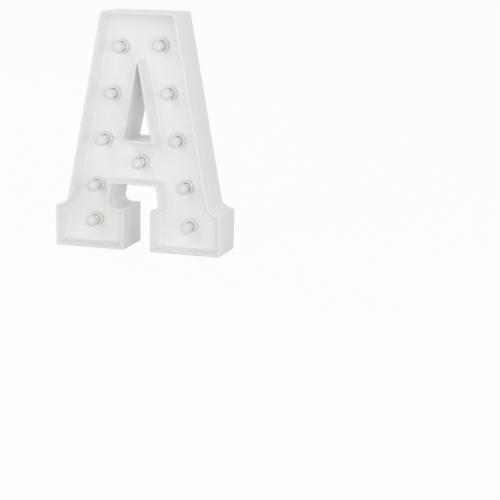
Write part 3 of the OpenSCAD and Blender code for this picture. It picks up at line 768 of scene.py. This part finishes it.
# Painted shade on the front rim's edge: the depth of its full tone, and the depth over which it fades
RIM_SHADE_DEPTH = 0.1
RIM_SHADE_FADE = 0.7
RIM_SHADE_Y = (FRONT_Y + RIM_SHADE_DEPTH) * MM
RIM_UNSHADED_Y = (FRONT_Y + RIM_SHADE_DEPTH + RIM_SHADE_FADE) * MM
# Heights on a cap between which the neck's tone turns into the globe's; the neck's whiter tone is partly
# painted light
NECK_TONE_H = 7.0 * MM
GLOBE_TONE_H = 11.5 * MM
# Shares of a cell's length where each of its tones starts
SLEEVE_START = 0.019
SLEEVE_EDGE = 0.70
BAND_START = 0.705
BAND_EDGE = 0.955
TOP_START = 0.972


def srgb(r, g, b):
    """A colour from levels of 0 to 255."""
    def linear(level):
        c = level / 255
        return c / 12.92 if c <= 0.04045 else ((c + 0.055) / 1.055) ** 2.4
    return (linear(r), linear(g), linear(b), 1.0)


def grey(value):
    return (value, value, value, 1.0)


def math_node(tree, operation, *sides):
    """The value of a math node; each side is a number or the output of another node."""
    node = tree.nodes.new("ShaderNodeMath")
    node.operation = operation
    for socket, side in zip(node.inputs, sides):
        if isinstance(side, float):
            socket.default_value = side
        else:
            tree.links.new(side, socket)
    return node.outputs["Value"]


class Paint:
    """Small helper round one node material."""

    def __init__(self, name):
        self.mat = bpy.data.materials.new(name)
        self.mat.use_nodes = True
        self.tree = self.mat.node_tree
        self.bsdf = next(n for n in self.tree.nodes if n.type == "BSDF_PRINCIPLED")
        self.coord = self.node("ShaderNodeTexCoord").outputs["Object"]

    def node(self, kind):
        return self.tree.nodes.new(kind)

    def link(self, a, b):
        self.tree.links.new(a, b)

    def to(self, socket, output):
        self.link(output, self.bsdf.inputs[socket])

    def set(self, **values):
        for key, value in values.items():
            self.bsdf.inputs[key.replace("_", " ")].default_value = value

    def axis(self, letter):
        n = self.node("ShaderNodeSeparateXYZ")
        self.link(self.coord, n.inputs["Vector"])
        return n.outputs[letter]

    def noise(self, scale, detail=2.0, rough=0.5, vector=None):
        n = self.node("ShaderNodeTexNoise")
        n.inputs["Scale"].default_value = scale
        n.inputs["Detail"].default_value = detail
        n.inputs["Roughness"].default_value = rough
        self.link(vector or self.coord, n.inputs["Vector"])
        return n.outputs["Fac"]

    def ramp(self, fac, stops, sharp=False):
        n = self.node("ShaderNodeValToRGB")
        e = n.color_ramp.elements
        while len(e) < len(stops):
            e.new(0.5)
        for item, (at, colour) in zip(e, stops):
            item.position = at
            item.color = colour
        if sharp:
            n.color_ramp.interpolation = "CONSTANT"
        self.link(fac, n.inputs["Fac"])
        return n.outputs["Color"]

    def clouds(self, dark, light, scale, detail=2.0, rough=0.5):
        """Soft clouds between two tones."""
        return self.ramp(self.noise(scale, detail, rough), [(NOISE_LOW, dark), (NOISE_HIGH, light)])

    def spread(self, fac, low, high, start=NOISE_LOW, end=NOISE_HIGH):
        n = self.node("ShaderNodeMapRange")
        n.inputs["From Min"].default_value = start
        n.inputs["From Max"].default_value = end
        n.inputs["To Min"].default_value = low
        n.inputs["To Max"].default_value = high
        self.link(fac, n.inputs["Value"])
        return n.outputs["Result"]

    def mix(self, fac, a, b):
        """Colour a where fac is 0 and the fixed colour b where it is 1."""
        n = self.node("ShaderNodeMix")
        n.data_type = "RGBA"
        colours = [s for s in n.inputs if s.type == "RGBA"]
        colours[1].default_value = b
        self.link(fac, n.inputs["Factor"])
        self.link(a, colours[0])
        return next(s for s in n.outputs if s.type == "RGBA")

    def bump(self, fac, distance, strength, under=None):
        n = self.node("ShaderNodeBump")
        n.inputs["Distance"].default_value = distance
        n.inputs["Strength"].default_value = strength
        self.link(fac, n.inputs["Height"])
        if under is not None:
            self.link(under, n.inputs["Normal"])
        return n.outputs["Normal"]

    def soft_edges(self, radius):
        n = self.node("ShaderNodeBevel")
        n.samples = BEVEL_SAMPLES
        n.inputs["Radius"].default_value = radius
        return n.outputs["Normal"]


def moulded_plastic(name, dark, light, rough, edges=None, glow=0.0, rim_shade=None):
    """Moulded plastic with faint clouds; an optional darker tone is painted on the front rim's edge as
    shade.
    """
    p = Paint(name)
    colour = p.clouds(dark, light, scale=38, detail=3, rough=0.55)
    # Painted shade: a darker tone on the front rim's edge, fading over a short depth behind the front
    if rim_shade:
        rim_shade_share = p.spread(p.axis("Y"), low=1.0, high=0.0, start=RIM_SHADE_Y, end=RIM_UNSHADED_Y)
        colour = p.mix(rim_shade_share, colour, rim_shade)
    p.to("Base Color", colour)
    p.to("Roughness", p.spread(p.noise(420, detail=3, rough=0.6), low=rough - 0.06, high=rough + 0.06))
    under = p.soft_edges(edges) if edges else None
    grain = p.bump(p.noise(2600, rough=0.55), distance=0.06 * MM, strength=0.35, under=under)
    waves = p.bump(p.noise(30, detail=1, rough=0.4), distance=0.6 * MM, strength=0.12, under=grain)
    p.to("Normal", waves)
    p.set(IOR=1.5)
    p.set(Subsurface_Weight=glow, Subsurface_Scale=2 * MM, Subsurface_Radius=(1.0, 1.0, 1.0))
    return p.mat


def milky_cap():
    """Milky plastic, white on the neck and a cool grey on the globe; the neck's white is also raised as
    painted light against the shade under the globe.
    """
    p = Paint("milky_cap")
    height = p.spread(p.axis("Z"), low=0.0, high=1.0, start=NECK_TONE_H, end=GLOBE_TONE_H)
    tone = math_node(p.tree, "MULTIPLY_ADD", p.noise(260, detail=3, rough=0.6), 0.16, height)
    # Painted light in part: the neck's whiter tone also lifts the shade that the globe casts on it
    p.to("Base Color", p.ramp(tone, [(0.0, srgb(252, 252, 250)), (1.0, srgb(232, 235, 240))]))
    p.to("Roughness", p.spread(p.noise(900), low=0.2, high=0.3))
    p.to("Normal", p.bump(p.noise(700), distance=0.05 * MM, strength=0.2))
    p.set(IOR=1.49)
    p.set(Subsurface_Weight=0.15, Subsurface_Scale=1.5 * MM, Subsurface_Radius=(1.0, 1.0, 1.1))
    return p.mat


def plated_metal(name, dark, light, rough):
    """Plated metal with fine scratches across Z and softened edges."""
    p = Paint(name)
    stretch = p.node("ShaderNodeMapping")
    stretch.inputs["Scale"].default_value = (1.0, 1.0, 9.0)
    p.link(p.coord, stretch.inputs["Vector"])
    scratches = p.noise(900, detail=3, rough=0.6, vector=stretch.outputs["Vector"])
    p.to("Base Color", p.clouds(dark, light, scale=300, detail=3, rough=0.55))
    p.to("Roughness", p.spread(scratches, low=rough - 0.08, high=rough + 0.1))
    p.to("Normal", p.bump(scratches, distance=0.03 * MM, strength=0.3, under=p.soft_edges(0.2 * MM)))
    p.set(Metallic=1.0)
    return p.mat


def cell_wrap():
    """Plain two-tone sleeve over a steel can; heights are along the cell's own axis."""
    p = Paint("cell_wrap")
    height = p.spread(p.axis("Z"), low=0.0, high=1.0, start=0.0, end=CELL_L * MM)
    bands = [
        (0.0, srgb(190, 190, 186)), (SLEEVE_START, srgb(38, 42, 48)), (SLEEVE_EDGE, srgb(40, 44, 50)),
        (BAND_START, srgb(176, 118, 62)), (BAND_EDGE, srgb(182, 124, 66)), (TOP_START, srgb(196, 196, 192)),
    ]
    shine = [(0.0, grey(1.0)), (SLEEVE_START, grey(0.25)), (TOP_START, grey(1.0))]
    p.to("Base Color", p.ramp(height, bands, sharp=True))
    p.to("Metallic", p.ramp(height, shine, sharp=True))
    p.to("Roughness", p.spread(p.noise(500, detail=3, rough=0.6), low=0.22, high=0.36))
    p.to("Normal", p.bump(p.noise(180), distance=0.1 * MM, strength=0.15))
    p.set(Coat_Weight=0.3)
    return p.mat


def insulation(name, dark, light):
    """Soft sleeve of a wire."""
    p = Paint(name)
    p.to("Base Color", p.clouds(dark, light, scale=400, detail=3, rough=0.6))
    p.to("Roughness", p.spread(p.noise(1200), low=0.42, high=0.58))
    p.to("Normal", p.bump(p.noise(2200), distance=0.05 * MM, strength=0.3))
    return p.mat


def clear_epoxy():
    """Half clear resin of the LEDs."""
    p = Paint("clear_epoxy")
    p.to("Base Color", p.clouds(srgb(228, 232, 226), srgb(236, 240, 236), scale=300))
    p.to("Roughness", p.spread(p.noise(600), low=0.06, high=0.14))
    p.to("Normal", p.bump(p.noise(500), distance=0.05 * MM, strength=0.1))
    p.set(IOR=1.53, Transmission_Weight=0.6)
    return p.mat


# The shell's front rim gets a painted shade tone
shell_white = moulded_plastic(
    "shell_white", srgb(247, 248, 245), srgb(249, 250, 247), rough=0.48, glow=0.5, rim_shade=srgb(233, 234, 231)
)
cover_white = moulded_plastic(
    "cover_white", srgb(246, 247, 244), srgb(248, 249, 246), rough=0.5, edges=0.35 * MM, glow=0.5
)
socket_white = moulded_plastic("socket_white", srgb(236, 235, 228), srgb(241, 240, 233), rough=0.42)
knob_black = moulded_plastic("knob_black", srgb(34, 34, 35), srgb(44, 44, 45), rough=0.5, edges=0.25 * MM)
milky = milky_cap()
screw_zinc = plated_metal("screw_zinc", srgb(168, 170, 172), srgb(206, 207, 207), rough=0.34)
can_tin = plated_metal("can_tin", srgb(172, 172, 168), srgb(204, 204, 200), rough=0.4)
contact_nickel = plated_metal("contact_nickel", srgb(186, 183, 174), srgb(216, 213, 204), rough=0.28)
wrap = cell_wrap()
wire_red = insulation("wire_red", srgb(150, 28, 24), srgb(172, 38, 32))
wire_black = insulation("wire_black", srgb(26, 26, 27), srgb(40, 40, 42))
epoxy = clear_epoxy()

# Materials of the CAD nodes, by their names without a number
FINISH = {
    "front_shell": shell_white, "back_cover": cover_white, "battery_door": cover_white,
    "cover_screws": screw_zinc, "switch_body": can_tin, "switch_slider": knob_black,
    "battery_cell": wrap, "battery_spring": contact_nickel, "contact_bridge": contact_nickel,
    "contact_positive": contact_nickel, "contact_negative": contact_nickel,
    "wire_loom_positive": wire_red, "wire_loom_negative": wire_black, "switch_lead": wire_red,
    "bulb_cap": milky, "bulb_socket": socket_white, "bulb_led": epoxy,
}
for name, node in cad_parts.items():
    wear(node, FINISH[name.rstrip("_0123456789")])

make_front_shell(shell_white)
make_caps(milky)
make_sockets(socket_white)
make_cells(wrap)
make_springs(contact_nickel)


# Floor, light and camera, with sizes in metres

WHITE = (1.0, 1.0, 1.0)
FLOOR_HALF = 40.0
FLOOR_DROP = 0.1 * MM
FLOOR_TONE = 0.86
# Share of plain white in what the camera sees of the floor, so that only faint shadows are left
FLOOR_GLOW = 0.94
LAMP_DISTANCE = 1.8
# Camera that fits the letter's edges in the photograph: focal length and width in pixels, angles in radians
FOCAL_PIXELS = 1401.31
PHOTO_W = 500
SENSOR_W = 36.0
CAMERA_PLACE = (0.4563, -1.21861, 0.2824)
CAMERA_TURN = 0.28169
CAMERA_DIP = 0.21554
CAMERA_ROLL = 0.01999
CLIP_NEAR = 0.01
CLIP_FAR = 50.0


def empty_tree(owner):
    owner.use_nodes = True
    owner.node_tree.nodes.clear()
    return owner.node_tree


def shader(tree, kind, colour, strength=None):
    """Output of a shader with one colour and, where it gives light, a strength."""
    node = tree.nodes.new(kind)
    node.inputs["Color"].default_value = (*colour, 1)
    if strength is not None:
        node.inputs["Strength"].default_value = strength
    return node.outputs[0]


def mix_to_output(tree, kind, share, first, second):
    """Links the mix of two shaders to an output node of the given kind."""
    mix = tree.nodes.new("ShaderNodeMixShader")
    out = tree.nodes.new(kind)
    for socket, source in zip(mix.inputs, (share, first, second)):
        tree.links.new(source, socket)
    tree.links.new(mix.outputs["Shader"], out.inputs["Surface"])


def make_floor():
    """A wide floor that the camera sees as nearly plain white."""
    bm = bmesh.new()
    bmesh.ops.create_grid(bm, x_segments=4, y_segments=4, size=FLOOR_HALF)
    obj = new_object("floor", bm, False)
    obj.location = (0, 0, -FLOOR_DROP)
    mat = bpy.data.materials.new("floor_white")
    tree = empty_tree(mat)
    paint = shader(tree, "ShaderNodeBsdfDiffuse", (FLOOR_TONE, FLOOR_TONE, FLOOR_TONE))
    glow = shader(tree, "ShaderNodeEmission", WHITE, 1.0)
    ray = tree.nodes.new("ShaderNodeLightPath").outputs
    share = math_node(tree, "MULTIPLY", ray["Is Camera Ray"], FLOOR_GLOW)
    mix_to_output(tree, "ShaderNodeOutputMaterial", share, paint, glow)
    wear(obj, mat)


def make_world(light, tint):
    """Soft light from all round; the camera, reflections and clear pieces see it as plain white."""
    world = bpy.data.worlds.new("studio")
    scene.world = world
    tree = empty_tree(world)
    soft = shader(tree, "ShaderNodeBackground", tint, light)
    plain = shader(tree, "ShaderNodeBackground", WHITE, 1.0)
    ray = tree.nodes.new("ShaderNodeLightPath").outputs
    seen = math_node(tree, "MAXIMUM", ray["Is Camera Ray"], ray["Is Glossy Ray"])
    seen = math_node(tree, "MAXIMUM", seen, ray["Is Transmission Ray"])
    mix_to_output(tree, "ShaderNodeOutputWorld", seen, soft, plain)


def studio_light(name, azimuth, elevation, size, power, tint):
    """A round soft lamp that faces the letter's middle, with its angles in degrees."""
    aim = Vector((0, 0, LETTER_H / 2 * MM))
    az, el = math.radians(azimuth), math.radians(elevation)
    way = Vector((math.sin(az) * math.cos(el), -math.cos(az) * math.cos(el), math.sin(el)))
    data = bpy.data.lights.new(name, "AREA")
    data.shape = "DISK"
    data.size = size
    data.energy = power
    data.color = tint
    obj = bpy.data.objects.new(name, data)
    scene.collection.objects.link(obj)
    obj.location = aim + LAMP_DISTANCE * way
    obj.rotation_euler = (-way).to_track_quat("-Z", "Y").to_euler()


def make_camera():
    data = bpy.data.cameras.new("camera")
    data.sensor_width = SENSOR_W
    data.lens = FOCAL_PIXELS / PHOTO_W * SENSOR_W
    data.clip_start = CLIP_NEAR
    data.clip_end = CLIP_FAR
    obj = bpy.data.objects.new("camera", data)
    scene.collection.objects.link(obj)
    obj.matrix_world = (
        Matrix.Translation(CAMERA_PLACE)
        @ Matrix.Rotation(CAMERA_TURN, 4, "Z")
        @ Matrix.Rotation(math.pi / 2 - CAMERA_DIP, 4, "X")
        @ Matrix.Rotation(CAMERA_ROLL, 4, "Z")
    )
    scene.camera = obj


make_floor()
make_world(light=0.656, tint=(0.96, 0.98, 1.0))
studio_light("key", azimuth=20, elevation=4, size=0.9, power=8.1, tint=(1.0, 0.97, 0.96))
studio_light("side", azimuth=60, elevation=3, size=0.9, power=2.7, tint=(1.0, 0.99, 0.98))
studio_light("fill", azimuth=-20, elevation=32, size=0.6, power=2.6, tint=(1.0, 0.95, 0.92))
studio_light("back", azimuth=236, elevation=14, size=0.6, power=2.8, tint=(1.0, 0.98, 0.96))
make_camera()
scene.view_settings.view_transform = "Standard"
